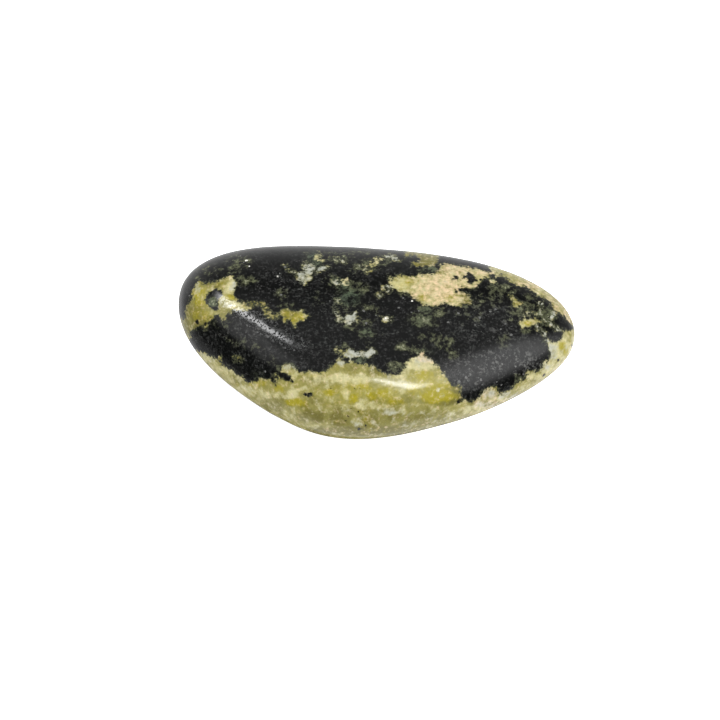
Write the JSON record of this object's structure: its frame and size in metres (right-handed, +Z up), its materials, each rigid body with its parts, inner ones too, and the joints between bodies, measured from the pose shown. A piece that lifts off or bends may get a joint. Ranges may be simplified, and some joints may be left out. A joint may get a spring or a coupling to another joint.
{
  "type": "tumbled stone",
  "caption": "Polished, rounded-triangular flat pebble of mottled dark and yellow-green stone, resting on a small flat worn into its underside.",
  "frame": {"origin": "middle of the stone's outline seen from above, at the height of the surface it rests on", "axes": "+X along the length towards the narrower end, +Y towards the long straight edge, +Z up through the thickness"},
  "size_m": [0.04, 0.0226, 0.0109],
  "materials": {
    "stone": "tumble-polished, black-green mineral mottled with yellow-green, cream, white and peach"
  },
  "bodies": {
    "root": {"stone": "stone"}
  },
  "joints": []
}
